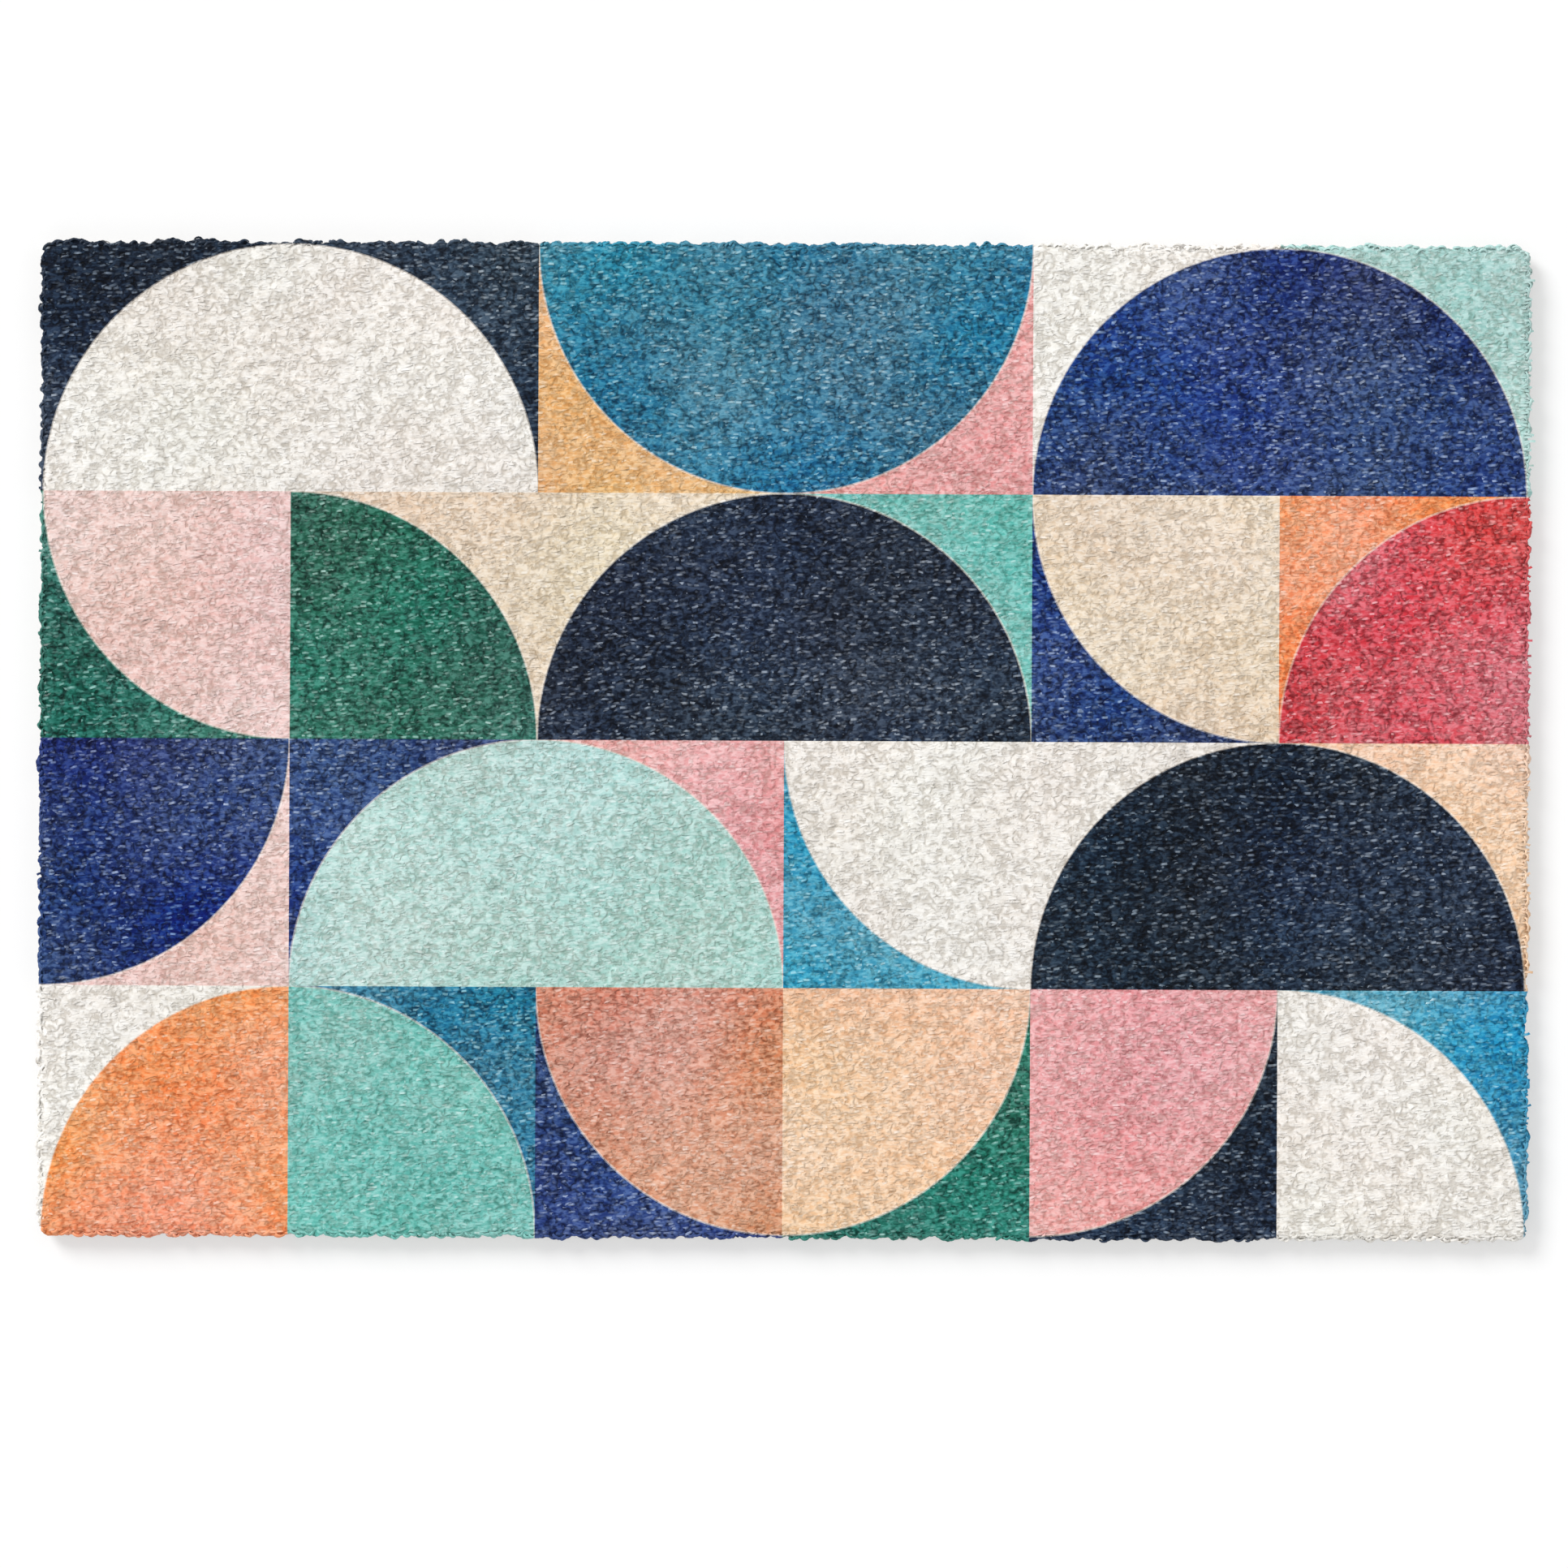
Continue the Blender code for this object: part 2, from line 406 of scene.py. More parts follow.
def strand_vinyl(scene):
    """Extruded soft vinyl, printed: glossy strands, many with a dash on the crest that took
    little ink and is partly a painted highlight, with painted shade in the crevices and at the
    feet.
    """
    material, tree, shader = new_material("printed_extruded_vinyl")
    ink = printed_colour(tree, scene)
    spot = add_node(tree, "TexCoord", output="Object")
    # Each strand took its own share of ink, which shows most in the dark inks. The tone also
    # falls towards the strand's foot, as painted shade
    tone = add_node(tree, "Attribute", output="Fac", attribute_name="tone")
    ink_and_shade_gamma = add_node(tree, "MapRange", (tone, 0.0, 1.0, *STRAND_GAMMA))
    ink = add_node(tree, "Gamma", (ink, ink_and_shade_gamma))
    # The crest of a loose strand took less ink, and shines more: a paler dash that is partly a
    # painted highlight
    fleck = add_node(tree, "Attribute", output="Fac", attribute_name="fleck")
    fleck = add_node(tree, "Math", (fleck, CREST_EDGE), operation="POWER")
    brightness = add_node(tree, "RGBToBW", (ink,))
    bare_and_lit = add_node(tree, "MapRange", (brightness, *CREST_FIELDS, *CREST_BARE_AND_LIT))
    bare_and_lit = add_node(tree, "Math", (fleck, bare_and_lit), operation="MULTIPLY")
    # Painted highlight: the crest's ink is made paler, as if thinly laid on
    thin_and_lit = add_node(tree, "Gamma", (ink, THIN_AND_LIT_GAMMA))
    ink = add_node(tree, "Mix", (bare_and_lit, ink, thin_and_lit), data_type="RGBA")
    # Painted shade on the strands where the matted relief has its crevices
    shade = add_node(tree, "MapRange", (matted_relief(tree, spot), 0.0, 1.0, *STRAND_SHADE))
    tree.links.new(in_shade(tree, ink, shade), shader.inputs["Base Color"])
    shine = add_node(tree, "MapRange", (fleck, 0.0, 1.0, *STRAND_GLOSS))
    make_soft_vinyl(tree, shader, 0.26, shine, evened=4.0)
    return material


# How long, wide and thick one matted strand shows, the gamma of the ink where the grain is least
# and where it is most, which darkens the grain's low spots as painted shade, and the depth of the
# relief
GRAIN = (2.6 * MM, 1.4 * MM, 1.0 * MM)
GRAIN_ENDS = (0.36, 0.6)
GRAIN_GAMMA = (1.4, 0.88)
RELIEF = 0.3 * MM


def bed_vinyl(scene):
    """The same strands matted together: printed like the rest, with painted shade down in the
    crevices and in the low spots of the grain.
    """
    material, tree, shader = new_material("matted_extruded_vinyl")
    ink = printed_colour(tree, scene)
    spot = add_node(tree, "TexCoord", output="Object")
    relief = matted_relief(tree, spot)
    turn = (0, 0, -scene.doormat_pile.slope)
    strands = add_node(tree, "Mapping", (spot, (0, 0, 0), turn, [1 / size for size in GRAIN]))
    grain = add_node(tree, "TexNoise", (strands, 1.0, 1.0))
    # Painted shade: the ink darkens where the grain, which is also the bump's height, is low
    ink_and_shade_gamma = add_node(tree, "MapRange", (grain, *GRAIN_ENDS, *GRAIN_GAMMA))
    ink = add_node(tree, "Gamma", (ink, ink_and_shade_gamma))
    tree.links.new(in_shade(tree, ink, relief), shader.inputs["Base Color"])
    shader.inputs["Roughness"].default_value = 0.6
    shader.inputs["Specular IOR Level"].default_value = 0.1
    height = add_node(tree, "Math", (relief, grain), operation="ADD")
    bump = add_node(tree, "Bump", {"Height": height, "Strength": 1.0, "Distance": RELIEF})
    tree.links.new(bump, shader.inputs["Normal"])
    return material


def rim_vinyl(scene):
    """Strands of the cut edge: the same vinyl, less glossy where the knife went through it."""
    material, tree, shader = new_material("edge_extruded_vinyl")
    ink = printed_colour(tree, scene)
    tone = add_node(tree, "Attribute", output="Fac", attribute_name="tone")
    tree.links.new(in_shade(tree, ink, tone), shader.inputs["Base Color"])
    shine = add_node(tree, "MapRange", (tone, 0.0, 1.0, *RIM_GLOSS))
    make_soft_vinyl(tree, shader, 0.4, shine)
    return material


# Cloudy patches of the backing, the grain pressed into it and how deep that goes
BACKING_PATCH = 14 * MM
BACKING_GRAIN = 1.8 * MM
BACKING_RELIEF = 0.3 * MM


def backing_vinyl(colours):
    """Calendered vinyl sheet, milky grey, with a fine grain pressed in that grips the floor."""
    material, tree, shader = new_material("calendered_vinyl")
    spot = add_node(tree, "TexCoord", output="Object")
    cloud = add_node(tree, "TexNoise", (spot, 1 / BACKING_PATCH, 2.0))
    ends = (colours.backing_dark, colours.backing_pale)
    milky = add_node(tree, "Mix", (cloud, *ends), data_type="RGBA")
    tree.links.new(milky, shader.inputs["Base Color"])
    shader.inputs["Roughness"].default_value = 0.55
    shader.inputs["IOR"].default_value = 1.53
    grain = add_node(tree, "TexVoronoi", (spot, 1 / BACKING_GRAIN))
    bump = add_node(tree, "Bump", {"Height": grain, "Strength": 0.6, "Distance": BACKING_RELIEF})
    tree.links.new(bump, shader.inputs["Normal"])
    return material


def studio_paper(white):
    """Seamless paper, white and matt, lit a little from below too, so that its shadows stay
    pale and it is an even white around them."""
    material, tree, shader = new_material("seamless_paper")
    shader.inputs["Base Color"].default_value = white
    shader.inputs["Emission Color"].default_value = WHITE
    shader.inputs["Emission Strength"].default_value = 0.3
    shader.inputs["Roughness"].default_value = 1.0
    shader.inputs["Specular IOR Level"].default_value = 0.0
    return material


def finish_piece(piece, material):
    """Gives a piece its material and ties it to the mat."""
    piece.data.materials.clear()
    piece.data.materials.append(material)
    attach(piece, "root")
    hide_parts("mat")


def active_edit(piece):
    """Makes the piece the only one selected, and opens it in edit mode."""
    bpy.ops.object.select_all(action="DESELECT")
    piece.select_set(True)
    bpy.context.view_layer.objects.active = piece
    bpy.ops.object.mode_set(mode="EDIT")


def from_corner(x, y, cut):
    """How far a point lies outside the cut outline. Inside it is negative."""
    reach_x = abs(x) - (cut.length / 2 - cut.corner)
    reach_y = abs(y) - (cut.width / 2 - cut.corner)
    outside = np.hypot(np.maximum(reach_x, 0), np.maximum(reach_y, 0))
    return outside + np.minimum(np.maximum(reach_x, reach_y), 0) - cut.corner


def around_cut(step, cut):
    """Points round the cut outline with their outward directions, counterclockwise, and the
    outline's whole length."""
    reach_x = cut.length / 2 - cut.corner
    reach_y = cut.width / 2 - cut.corner
    quarter = cut.corner * math.pi / 2
    sides = (
        ((reach_x, -reach_y), (0, 1), 2 * reach_y),
        ((reach_x, reach_y), (-1, 0), 2 * reach_x),
        ((-reach_x, reach_y), (0, -1), 2 * reach_y),
        ((-reach_x, -reach_y), (1, 0), 2 * reach_x),
    )
    total = sum(length + quarter for _, _, length in sides)
    count = round(total / step)
    points, outwards = [], []
    for index in range(count):
        left = total * index / count
        for start, along, length in sides:
            if left < length + quarter:
                break
            left -= length + quarter
        turn = max(0.0, left - length) / cut.corner
        sideways = (along[1], -along[0])
        outward = [s * math.cos(turn) + a * math.sin(turn) for s, a in zip(sideways, along)]
        run = min(left, length)
        points.append([p + a * run + o * cut.corner for p, a, o in zip(start, along, outward)])
        outwards.append(outward)
    return np.array(points), np.array(outwards), total


class DOORMAT_OT_backing(bpy.types.Operator):
    """Cut the sheet of backing that the strands are bonded to"""

    bl_idname = "doormat.backing"
    bl_label = "Backing Sheet"

    def execute(self, context):
        cut = context.scene.doormat_cut
        bpy.ops.object.select_all(action="DESELECT")
        bpy.ops.mesh.primitive_cube_add(size=1, location=(0, 0, cut.backing / 2))
        backing = context.active_object
        backing.name = backing.data.name = "backing"
        backing.scale = (cut.length, cut.width, cut.backing)
        bpy.ops.object.transform_apply(location=True, rotation=True, scale=True)
        active_edit(backing)
        bpy.ops.mesh.select_mode(type="EDGE")
        bpy.ops.mesh.select_all(action="DESELECT")
        bpy.ops.object.mode_set(mode="OBJECT")
        for edge in backing.data.edges:
            ends = [backing.data.vertices[index].co for index in edge.vertices]
            edge.select = abs(ends[0].z - ends[1].z) > cut.backing / 2
        bpy.ops.object.mode_set(mode="EDIT")
        bpy.ops.mesh.bevel(offset=cut.corner, segments=6)
        bpy.ops.object.mode_set(mode="OBJECT")
        finish_piece(backing, backing_vinyl(context.scene.doormat_colours))
        return {"FINISHED"}


# Size of the bed's faces, heights of the rings of points on its wall, and how far the
# shoulder lies below the bed's rim
BED_STEP = 1.7 * MM
WALL_RINGS = (7.0 * MM, 5.2 * MM, 3.6 * MM)
SHOULDER_DROP = 0.7 * MM


class DOORMAT_OT_bed(bpy.types.Operator):
    """Mat the strands together into the clumpy pile that the curls arch out of"""

    bl_idname = "doormat.bed"
    bl_label = "Matted Pile"

    def execute(self, context):
        cut, pile = context.scene.doormat_cut, context.scene.doormat_pile
        columns, rows = bed_faces(cut)
        bpy.ops.object.select_all(action="DESELECT")
        bpy.ops.mesh.primitive_grid_add(x_subdivisions=columns, y_subdivisions=rows, size=1)
        bed = context.active_object
        bed.name = bed.data.name = "pile_bed"
        bed.scale = (cut.length, cut.width, 1)
        bpy.ops.object.transform_apply(location=True, rotation=True, scale=True)
        for vert in bed.data.vertices:
            x, y = inside_corners(vert.co.x, vert.co.y, cut)
            vert.co = (x, y, pile_height(x, y, cut, pile))
        active_edit(bed)
        bpy.ops.mesh.select_mode(type="EDGE")
        bpy.ops.mesh.select_all(action="DESELECT")
        bpy.ops.mesh.select_non_manifold()
        # Twice as many points round the cut, for the small lumps of the wall
        bpy.ops.mesh.subdivide(number_cuts=1)
        # The shoulder, then the wall below it ring by ring, bulging like the strands in it
        for height in (None, *WALL_RINGS, cut.backing):
            if height:
                # A ring is drawn out by any length and then set on the wall
                bpy.ops.mesh.extrude_region_move(TRANSFORM_OT_translate={"value": (0, 0, -MM)})
            bpy.ops.object.mode_set(mode="OBJECT")
            for vert in bed.data.vertices:
                if vert.select:
                    level = height or vert.co.z - SHOULDER_DROP
                    vert.co = (*on_wall(vert.co.x, vert.co.y, level, cut), level)
            bpy.ops.object.mode_set(mode="EDIT")
        bpy.ops.mesh.edge_face_add()
        bpy.ops.mesh.select_all(action="SELECT")
        bpy.ops.mesh.normals_make_consistent(inside=False)
        bpy.ops.object.mode_set(mode="OBJECT")
        bed.data.shade_smooth()
        finish_piece(bed, bed_vinyl(context.scene))
        return {"FINISHED"}


def inside_corners(x, y, cut):
    """The point, drawn in to the rounded corner if it lies outside the outline."""
    if from_corner(x, y, cut) <= 0:
        return x, y
    centre = Vector((
        math.copysign(cut.length / 2 - cut.corner, x),
        math.copysign(cut.width / 2 - cut.corner, y),
    ))
    spoke = Vector((x, y)) - centre
    return centre + spoke.normalized() * cut.corner


# The wall's large lumps and its small ones: their size, and their depth as a share of the bulge
WALL_LUMP = 9 * MM
WALL_LUMP_DEPTH = 0.6
WALL_TANGLE = 2.8 * MM
WALL_TANGLE_DEPTH = 2.1
# Height counts only this much in the small lumps, which makes them tall
WALL_TANGLE_TALL = 0.6
# The bulge is a half circle, highest at one part in this many of the wall's height
BULGE_PART = 1.6


def on_wall(x, y, height, cut):
    """The point of the cut edge beside this one at this height. The wall of matted strands
    bulges out past the cut by about a millimetre, and in lumps along it."""
    spoke = Vector((
        math.copysign(max(abs(x) - cut.length / 2 + cut.corner, 0), x),
        math.copysign(max(abs(y) - cut.width / 2 + cut.corner, 0), y),
    ))
    outward = spoke.normalized()
    foot = Vector((x, y)) - outward * (spoke.length - cut.corner)
    up = (height - cut.backing) / (cut.bed_top - cut.backing)
    lumps = WALL_LUMP_DEPTH * noise.noise(Vector((*foot, 0.0)) / WALL_LUMP)
    lumps += WALL_TANGLE_DEPTH * noise.noise(
        Vector((*foot, WALL_TANGLE_TALL * height)) / WALL_TANGLE
    )
    bulge = max(0.0, 1 - (BULGE_PART * up - 1.0) ** 2) ** 0.5
    return foot + outward * (1.0 + lumps) * bulge * MM


# Lumps of single tangles on the clumps: their size, how they are stretched in x and y, and their
# depth in mm. A dip starts where the clumps' noise is below a value, and falls by a factor
TANGLE = 3.6 * MM
TANGLE_STRETCH = (0.8, 1.2)
TANGLE_DEPTH = 0.5
DIP_STARTS = 0.1
DIP_FALLS = 2
# Where in the noise the clumps are taken
CLUMP_SLICE = 3
# The shoulder starts this far inside the cut, and is round by this radius
SHOULDER = 1.2 * MM
SHOULDER_RADIUS = 5 * MM


def pile_height(x, y, cut, pile):
    """Height of the matted pile: clumps, on them the lumps of single tangles, and a shoulder
    that falls away at the cut."""
    clump = noise.noise(Vector((x, y, CLUMP_SLICE * pile.clump)) / pile.clump)
    lump = noise.noise(Vector((x * TANGLE_STRETCH[0], y * TANGLE_STRETCH[1], 0.0)) / TANGLE)
    sunk = max(0.0, DIP_STARTS - clump) * pile.clump_depth * DIP_FALLS
    shoulder = max(0.0, float(from_corner(x, y, cut)) + SHOULDER) ** 2 / SHOULDER_RADIUS
    return cut.bed_top - sunk - shoulder + lump * TANGLE_DEPTH * MM


def bed_faces(cut):
    """How many faces the bed has along and across."""
    return round(cut.length / BED_STEP), round(cut.width / BED_STEP)


def on_bed(x, y, cut, pile):
    """Height of the bed's faces under these points, and how steeply they rise in x and y."""
    columns, rows = bed_faces(cut)
    lines_x = np.linspace(-cut.length / 2, cut.length / 2, columns + 1)
    lines_y = np.linspace(-cut.width / 2, cut.width / 2, rows + 1)
    heights = np.array([[pile_height(px, py, cut, pile) for px in lines_x] for py in lines_y])
    # A point past the edge counts as just inside the last face
    column = np.clip((x / cut.length + 0.5) * columns, 0, columns - INSET)
    row = np.clip((y / cut.width + 0.5) * rows, 0, rows - INSET)
    i, j = column.astype(int), row.astype(int)
    share_x, share_y = column - i, row - j
    low = heights[j, i] * (1 - share_x) + heights[j, i + 1] * share_x
    high = heights[j + 1, i] * (1 - share_x) + heights[j + 1, i + 1] * share_x
    left = heights[j, i] * (1 - share_y) + heights[j + 1, i] * share_y
    right = heights[j, i + 1] * (1 - share_y) + heights[j + 1, i + 1] * share_y
    rise_x = (right - left) * columns / cut.length
    rise_y = (high - low) * rows / cut.width
    return low * (1 - share_y) + high * share_y, rise_x, rise_y


# A face that points up less than this lies in the pile
BURIED = 0.02


def model_curl(curl, strand, strand_sides, buried):
    """One curl of strand: its section drawn out and turned over step by step, then bowed in
    plan. A buried one has no faces below, where it lies in the pile."""
    tilt = math.radians(90 - curl.rise)
    profile = Matrix.Rotation(tilt, 3, "Y") @ Matrix.Rotation(math.radians(-90), 3, "Z")
    bpy.ops.object.select_all(action="DESELECT")
    bpy.ops.mesh.primitive_circle_add(
        vertices=strand_sides, radius=strand / 2, fill_type="NGON", rotation=profile.to_euler()
    )
    piece = bpy.context.active_object
    bpy.ops.object.transform_apply(location=True, rotation=True, scale=True)
    bpy.ops.object.mode_set(mode="EDIT")
    heading = curl.rise
    spot = Vector((0, 0, 0))
    for bend, step in zip(curl.bends, curl.steps):
        towards = math.radians(heading - bend / 2)
        move = Vector((math.cos(towards) * step, 0.0, math.sin(towards) * step)) * MM
        spot += move
        heading -= bend
        bpy.ops.mesh.extrude_region_move(TRANSFORM_OT_translate={"value": move})
        bpy.ops.transform.rotate(value=math.radians(-bend), orient_axis="Y", center_override=spot)
    bpy.ops.mesh.select_all(action="SELECT")
    bpy.ops.mesh.normals_make_consistent(inside=False)
    bpy.ops.object.mode_set(mode="OBJECT")
    bpy.ops.object.origin_set(type="ORIGIN_GEOMETRY", center="BOUNDS")
    piece.location = (0, 0, 0)
    if curl.bow:
        bowing = piece.modifiers.new("bow", "SIMPLE_DEFORM")
        bowing.deform_method = "BEND"
        bowing.deform_axis = "Z"
        bowing.angle = math.radians(curl.bow)
        bpy.ops.object.modifier_apply(modifier=bowing.name)
    if buried:
        active_edit(piece)
        bpy.ops.mesh.select_mode(type="FACE")
        bpy.ops.mesh.select_all(action="DESELECT")
        bpy.ops.object.mode_set(mode="OBJECT")
        for face in piece.data.polygons:
            face.select = face.normal.z < BURIED
        bpy.ops.object.mode_set(mode="EDIT")
        bpy.ops.mesh.delete(type="FACE")
        bpy.ops.object.mode_set(mode="OBJECT")
    return piece


def read_curl(piece):
    """The curl's points, crest at height 0, and its faces with four and with three corners."""
    points = np.array([vert.co for vert in piece.data.vertices])
    points[:, 2] -= points[:, 2].max()
    sides = [tuple(face.vertices) for face in piece.data.polygons if len(face.vertices) == 4]
    ends = [tuple(face.vertices) for face in piece.data.polygons if len(face.vertices) == 3]
    return points, np.array(sides), np.array(ends, dtype=int).reshape(-1, 3)


def modelled_curls(curls, strand, strand_sides, buried):
    """These curls as arrays, with the share of each."""
    kinds = []
    for curl in curls.values():
        piece = model_curl(curl, strand, strand_sides, buried)
        kinds.append(read_curl(piece))
        bpy.data.objects.remove(piece, do_unlink=True)
    return kinds, [curl.share for curl in curls.values()]


def turned_about(axis, angles):
    """Rotation matrices about X, Y or Z, one for each angle."""
    matrices = np.zeros((len(angles), 3, 3))
    first, second = [place for place in range(3) if place != axis]
    sign = -1 if axis == 1 else 1
    matrices[:, axis, axis] = 1
    matrices[:, first, first] = matrices[:, second, second] = np.cos(angles)
    matrices[:, first, second] = -sign * np.sin(angles)
    matrices[:, second, first] = sign * np.sin(angles)
    return matrices


# How far down from its top a curl counts as its crest
CREST = 0.55 * MM


def join_curls(kinds, kind, frames, places):
    """Copies of the curls, each turned by its frame and set in its place, as arrays: points,
    side faces, end faces, the copy that each point belongs to, and each point's closeness to
    the crest. The highest faces come last, so that a picture taken from above is theirs."""
    points, sides, ends, owners, crests = [], [], [], [], []
    base = 0
    for number, (shape, shape_sides, shape_ends) in enumerate(kinds):
        chosen = np.flatnonzero(kind == number)
        if not len(chosen):
            continue
        turned = np.einsum("nij,vj->nvi", frames[chosen], shape)
        points.append((turned + places[chosen, None, :]).reshape(-1, 3))
        owners.append(np.repeat(chosen, len(shape)))
        crests.append(np.tile(np.clip(1 + shape[:, 2] / CREST, 0, 1), len(chosen)))
        offsets = base + np.arange(len(chosen)) * len(shape)
        sides.append((offsets[:, None, None] + shape_sides).reshape(-1, 4))
        ends.append((offsets[:, None, None] + shape_ends).reshape(-1, 3))
        base += len(chosen) * len(shape)
    points = np.concatenate(points)
    sides, ends = np.concatenate(sides), np.concatenate(ends)
    sides = sides[np.argsort(points[sides][:, :, 2].mean(1))]
    return points, sides, ends, np.concatenate(owners), np.concatenate(crests)


def curls_piece(name, points, sides, ends, values, uv):
    """A mesh object of joined curls, with a value for each point under each name."""
    mesh = bpy.data.meshes.new(name)
    mesh.from_pydata(points.tolist(), [], ends.tolist() + sides.tolist())
    mesh.shade_smooth()
    for key, value in values.items():
        held = mesh.attributes.new(key, "FLOAT", "POINT")
        held.data.foreach_set("value", value.astype(np.float32))
    corner_points = np.empty(len(mesh.loops), np.int32)
    mesh.loops.foreach_get("vertex_index", corner_points)
    layer = mesh.uv_layers.new(name="OFBake")
    layer.uv.foreach_set("vector", uv[corner_points].astype(np.float32).ravel())
    piece = bpy.data.objects.new(name, mesh)
    bpy.context.collection.objects.link(piece)
    return piece


UV_BLOCKS = 3
UV_MARGIN = 3.4 * MM


def folded_uv(points, centres, low_y, height, cut):
    """A plan view of a strip, cut across into blocks that are stacked in the picture. A curl
    lies whole in the block of its own centre."""
    block_length = cut.length / UV_BLOCKS
    block = np.clip(np.floor((centres[:, 0] + cut.length / 2) / block_length), 0, UV_BLOCKS - 1)
    start = block * block_length - cut.length / 2 - UV_MARGIN
    u = (points[:, 0] - start) / (block_length + 2 * UV_MARGIN)
    v = (points[:, 1] - low_y + UV_MARGIN) / (height + 2 * UV_MARGIN)
    return np.stack([np.clip(u, 0, 1), (np.clip(v, 0, 1) + block) / UV_BLOCKS], axis=1)


# How unevenly the curls lie: off their row along and across it, tipped sideways and lengthways
# in radians, and sunk or raised in mm. Some reach past the cut by this much
OFF_ROW = (0.8 * MM, 0.35 * MM)
TIPPED = (0.1, 0.06)
RAISED = (-0.12, 0.16)
PAST_CUT = 0.5 * MM
# Painted shade at a strand's foot: its tone there, as a share of the tone of its crest
FOOT_SHADE = 0.6
# Below 1, more of the strands have a bare crest, a paler dash that is partly a painted highlight
FLECK_RARITY = 0.8


class DOORMAT_OT_pile(bpy.types.Operator):
    """Set the curls out in uneven rows over the bed, joined into strips"""

    bl_idname = "doormat.pile"
    bl_label = "Curled Pile"

    def execute(self, context):
        cut, pile = context.scene.doormat_cut, context.scene.doormat_pile
        rng = np.random.default_rng(pile.seed)
        kinds, shares = modelled_curls(PILE_CURLS, pile.strand, STRAND_SIDES, buried=True)
        columns = round(cut.length / pile.pitch_along)
        rows = round(cut.width / pile.pitch_across)
        count = rows * columns
        row, column = np.divmod(np.arange(count), columns)
        x = ((column + 0.5 + 0.5 * (row % 2)) / columns - 0.5) * cut.length
        y = ((row + 0.5) / rows - 0.5) * cut.width
        x += rng.normal(0, OFF_ROW[0], count)
        y += rng.normal(0, OFF_ROW[1], count)
        kept = from_corner(x, y, cut) < PAST_CUT
        x, y = x[kept], y[kept]
        count = len(x)
        kind = rng.choice(len(kinds), count, p=shares)
        turn = pile.slope + rng.normal(0, pile.scatter, count)
        turn += math.pi * rng.integers(0, 2, count)
        size = rng.uniform(*SIZES, count)
        # Each strand lies along the slope of the bed under it
        bed, rise_x, rise_y = on_bed(x, y, cut, pile)
        across = np.arctan(rise_y * np.cos(turn) - rise_x * np.sin(turn))
        across += rng.normal(0, TIPPED[0], count)
        along = -np.arctan(rise_x * np.cos(turn) + rise_y * np.sin(turn))
        along += rng.normal(0, TIPPED[1], count)
        frames = turned_about(2, turn) @ turned_about(0, across) @ turned_about(1, along)
        frames = frames * size[:, None, None] * LAID
        out = rng.uniform(*RAISED, count)
        places = np.stack([x, y, np.minimum(bed + out * MM, cut.pile_top)], axis=1)
        tone = rng.uniform(0.0, 1.0, count)
        fleck = rng.random(count) ** FLECK_RARITY
        material = strand_vinyl(context.scene)
        height = cut.width / pile.strips
        strip = np.clip(np.floor((y + cut.width / 2) / height), 0, pile.strips - 1)
        for number in range(pile.strips):
            mine = np.flatnonzero(strip == number)
            points, sides, ends, owners, crests = join_curls(
                kinds, kind[mine], frames[mine], places[mine]
            )
            points[:, 2] = np.minimum(points[:, 2], cut.pile_top)
            # The tone is each strand's own share of ink, falling towards its foot as painted
            # shade; the fleck is a paler dash on the crest, partly a painted highlight
            values = {
                "tone": tone[mine][owners] * (FOOT_SHADE + (1 - FOOT_SHADE) * crests),
                "fleck": fleck[mine][owners] * crests,
            }
            low_y = number * height - cut.width / 2
            uv = folded_uv(points, places[mine][owners], low_y, height, cut)
            piece = curls_piece(f"pile_{number + 1}", points, sides, ends, values, uv)
            finish_piece(piece, material)
        return {"FINISHED"}


# Where the rows on the rim begin above the backing and end below the bed's top, and how far
# above the floor a strand stays
RIM_FOOT = 0.6 * MM
RIM_HEAD = 0.3 * MM
ABOVE_FLOOR = 0.3 * MM
# How unevenly the strands lie: along the row in shares of the pitch, up and down, off the wall
# in mm, and turned and tipped in radians. Strays stand further off the wall
RIM_SLIP = 0.3
RIM_LIFT = 0.3 * MM
LAID_OFF = (-0.2, 0.2)
STRAY_OFF = (0.3, 1.1)
RIM_TURNED = 0.35
RIM_TIPPED = 0.2
# Degrees from level at which the lowest strands lie on the wall, and how much less the top ones
RIM_LEAN = 100
RIM_LEAN_BACK = 60
# How light a strand is at least and at most
RIM_TONES = (0.7, 1.0)


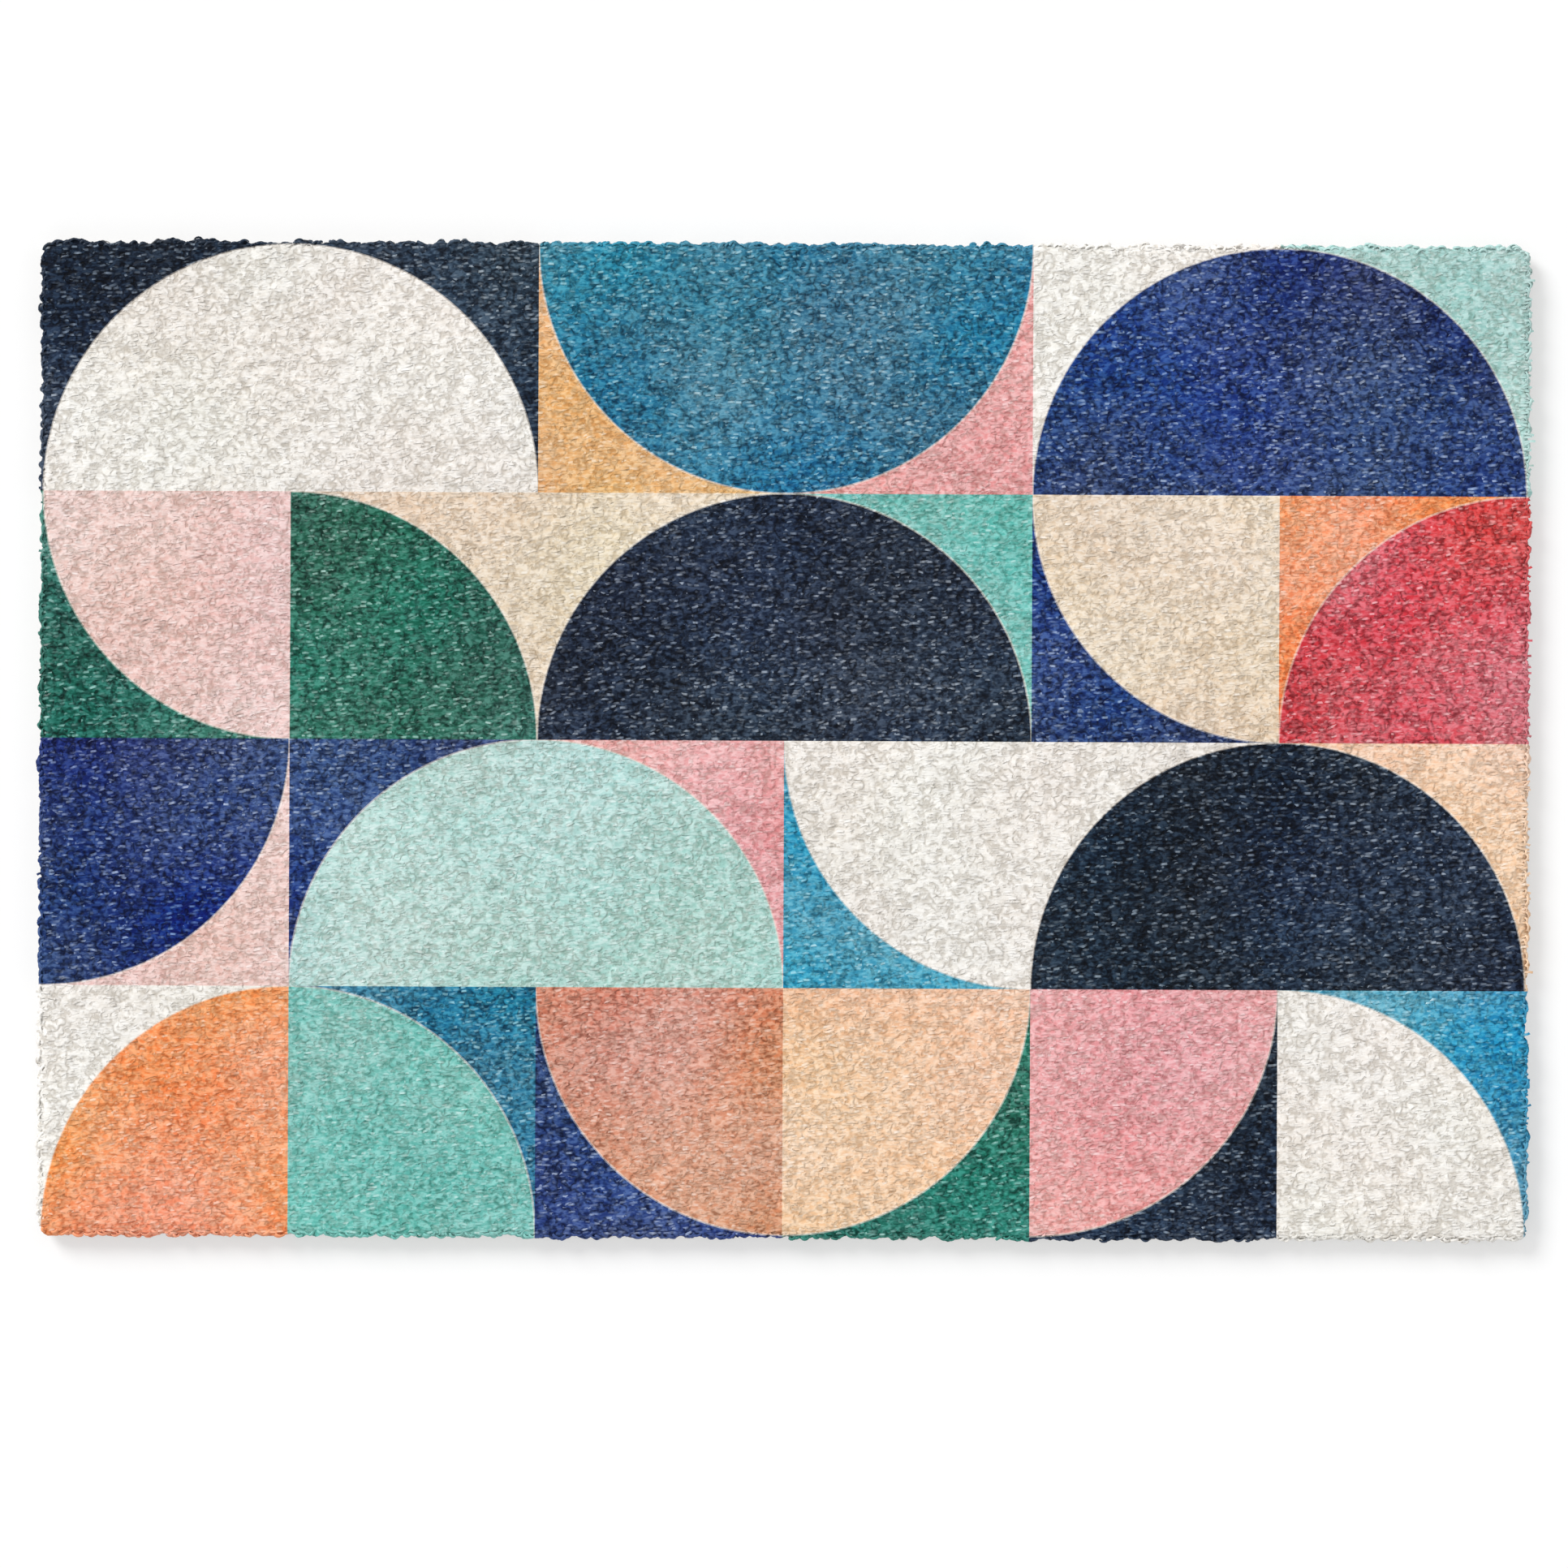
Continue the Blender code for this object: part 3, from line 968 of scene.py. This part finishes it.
class DOORMAT_OT_rim(bpy.types.Operator):
    """Lay strands on the cut edge, and let a few stray out from it"""

    bl_idname = "doormat.rim"
    bl_label = "Rim Strands"

    def execute(self, context):
        cut, rim = context.scene.doormat_cut, context.scene.doormat_rim
        strand = context.scene.doormat_pile.strand
        rng = np.random.default_rng(rim.seed)
        laid, laid_shares = modelled_curls(RIM_CURLS, strand, RIM_STRAND_SIDES, buried=True)
        stray, stray_shares = modelled_curls(STRAY_CURLS, strand, STRAND_SIDES, buried=False)
        spots, outwards, total = around_cut(rim.pitch, cut)
        per_row = len(spots)
        step = np.tile(np.arange(per_row), rim.rows)
        count = len(step)
        slip = rng.normal(0, RIM_SLIP, count) + 0.5 * np.repeat(np.arange(rim.rows) % 2, per_row)
        low, high = cut.backing + RIM_FOOT, cut.bed_top - RIM_HEAD
        height = np.repeat(np.linspace(low, high, rim.rows), per_row)
        height += rng.normal(0, RIM_LIFT, count)
        # Strands lie on the wall, the upper ones leaning back. Strays stand off its upper half
        # only, so twice as many of the strands there are strays
        stray_here = rng.random(count) < rim.rows ** -1 * rim.pitch / rim.stray_pitch * 2
        stray_here &= height > (low + high) / 2
        tangent = np.stack([-outwards[:, 1], outwards[:, 0]], axis=1)[step]
        base = spots[step] + tangent * slip[:, None] * rim.pitch
        wall = np.array([on_wall(px, py, pz, cut) for (px, py), pz in zip(base, height)])
        off = np.where(stray_here, rng.uniform(*STRAY_OFF, count), rng.uniform(*LAID_OFF, count))
        wall += outwards[step] * off[:, None] * MM
        places = np.concatenate([wall, height[:, None]], axis=1)
        up = (height - low) / (high - low)
        lean = np.radians(RIM_LEAN - RIM_LEAN_BACK * up ** 2) + rng.normal(0, RIM_TIPPED, count)
        heading = np.arctan2(tangent[:, 1], tangent[:, 0])
        frames = turned_about(2, heading) @ turned_about(0, lean)
        frames = frames @ turned_about(2, rng.normal(0, RIM_TURNED, count))
        frames = frames * rng.uniform(*SIZES, count)[:, None, None]
        frames = frames * np.where(stray_here[:, None], STRAY, RIM)[:, None, :]
        kind = np.where(
            stray_here,
            len(laid) + rng.choice(len(stray), count, p=stray_shares),
            rng.choice(len(laid), count, p=laid_shares),
        )
        points, sides, ends, owners, _ = join_curls(laid + stray, kind, frames, places)
        points[:, 2] = np.clip(points[:, 2], ABOVE_FLOOR, cut.pile_top)
        tone = rng.uniform(*RIM_TONES, count)
        uv = rim_uv(points, ((step + slip) * rim.pitch)[owners], total, cut)
        piece = curls_piece("rim_strands", points, sides, ends, {"tone": tone[owners]}, uv)
        finish_piece(piece, rim_vinyl(context.scene))
        return {"FINISHED"}


RIM_UV_ROWS = 16
RIM_UV_BELOW = 4 * MM
RIM_UV_HEIGHT = 18 * MM


def rim_uv(points, along, total, cut):
    """The edge unrolled into rows stacked in the picture: across, the way along the edge, and
    up, the way from the foot of the edge up and in over the pile."""
    length = total / RIM_UV_ROWS
    row = np.clip(np.floor(along / length), 0, RIM_UV_ROWS - 1)
    out = from_corner(points[:, 0], points[:, 1], cut)
    rise = points[:, 2] - out
    u = np.clip((along - row * length) / length, 0, 1)
    v = np.clip((rise + RIM_UV_BELOW) / RIM_UV_HEIGHT, 0, 1)
    return np.stack([u, (row + v) / RIM_UV_ROWS], axis=1)


FLOOR_SIZE = 8
# The floor lies this far below the mat, so that the two never share a plane
FLOOR_DROP = 0.1 * MM
# The key comes from the upper left and low, and is as wide as a large window
KEY_ELEVATION = math.radians(32)
KEY_BEARING = math.radians(135)
KEY_ANGLE = math.radians(26)


class DOORMAT_OT_stage(bpy.types.Operator):
    """Lay the white floor, and set up the soft light and the camera"""

    bl_idname = "doormat.stage"
    bl_label = "Studio"

    def execute(self, context):
        studio = context.scene.doormat_studio
        bpy.ops.object.select_all(action="DESELECT")
        bpy.ops.mesh.primitive_plane_add(size=FLOOR_SIZE, location=(0, 0, -FLOOR_DROP))
        floor = context.active_object
        floor.name = floor.data.name = "floor"
        floor.data.materials.append(studio_paper(studio.paper))
        world = bpy.data.worlds.new("studio_fill")
        world.use_nodes = True
        background = world.node_tree.nodes["Background"]
        background.inputs["Color"].default_value = WHITE
        background.inputs["Strength"].default_value = studio.fill
        context.scene.world = world
        towards_lamp = Vector((
            math.cos(KEY_ELEVATION) * math.cos(KEY_BEARING),
            math.cos(KEY_ELEVATION) * math.sin(KEY_BEARING),
            math.sin(KEY_ELEVATION),
        ))
        bpy.ops.object.light_add(type="SUN", location=towards_lamp)
        key = context.active_object
        key.name = "soft_key"
        key.rotation_euler = towards_lamp.to_track_quat("Z", "Y").to_euler()
        key.data.energy = studio.key
        key.data.angle = KEY_ANGLE
        add_camera(context, studio)
        context.scene.view_settings.view_transform = "Standard"
        context.scene.view_settings.look = "None"
        return {"FINISHED"}


PICTURE_PIXELS = 1932
# Focal length and sensor width in mm
LENS = 135.0
SENSOR = 36.0
# How far it sees, in metres
CAMERA_REACH = 20


def add_camera(context, studio):
    """A long lens straight above the mat, turned a little so that the mat lies as in the
    picture."""
    away = studio.view_width * LENS / SENSOR
    scale = studio.view_width / PICTURE_PIXELS
    aim = Vector((
        (PICTURE_PIXELS / 2 - studio.centre[0]) * scale,
        (studio.centre[1] - PICTURE_PIXELS / 2) * scale,
    ))
    aim.rotate(Matrix.Rotation(studio.roll, 2))
    above = context.scene.doormat_cut.pile_top + away
    bpy.ops.object.camera_add(location=(*aim, above), rotation=(0, 0, studio.roll))
    camera = context.active_object
    camera.name = "photo_camera"
    camera.data.lens = LENS
    camera.data.sensor_width = SENSOR
    camera.data.clip_end = CAMERA_REACH
    context.scene.camera = camera


class DOORMAT_PT_panel(bpy.types.Panel):
    """Lists the steps that build the doormat"""

    bl_idname = "DOORMAT_PT_panel"
    bl_label = "Doormat"
    bl_space_type = "VIEW_3D"
    bl_region_type = "UI"
    bl_category = "Doormat"

    def draw(self, context):
        for step in STEPS:
            self.layout.operator(step.bl_idname)


SETTINGS = {
    "doormat_colours": DoormatColours,
    "doormat_cut": DoormatCut,
    "doormat_pile": DoormatPile,
    "doormat_rim": DoormatRim,
    "doormat_studio": DoormatStudio,
}
STEPS = (
    DOORMAT_OT_backing, DOORMAT_OT_bed, DOORMAT_OT_pile, DOORMAT_OT_rim, DOORMAT_OT_stage,
)


def register():
    for known in (*SETTINGS.values(), *STEPS, DOORMAT_PT_panel):
        bpy.utils.register_class(known)
    for name, group in SETTINGS.items():
        setattr(bpy.types.Scene, name, PointerProperty(type=group))


def unregister():
    for name in SETTINGS:
        delattr(bpy.types.Scene, name)
    for known in (DOORMAT_PT_panel, *STEPS, *SETTINGS.values()):
        bpy.utils.unregister_class(known)


def main():
    """Builds the doormat and its studio."""
    register()
    bpy.ops.doormat.backing()
    bpy.ops.doormat.bed()
    bpy.ops.doormat.pile()
    bpy.ops.doormat.rim()
    bpy.ops.doormat.stage()


if __name__ == "__main__":
    main()
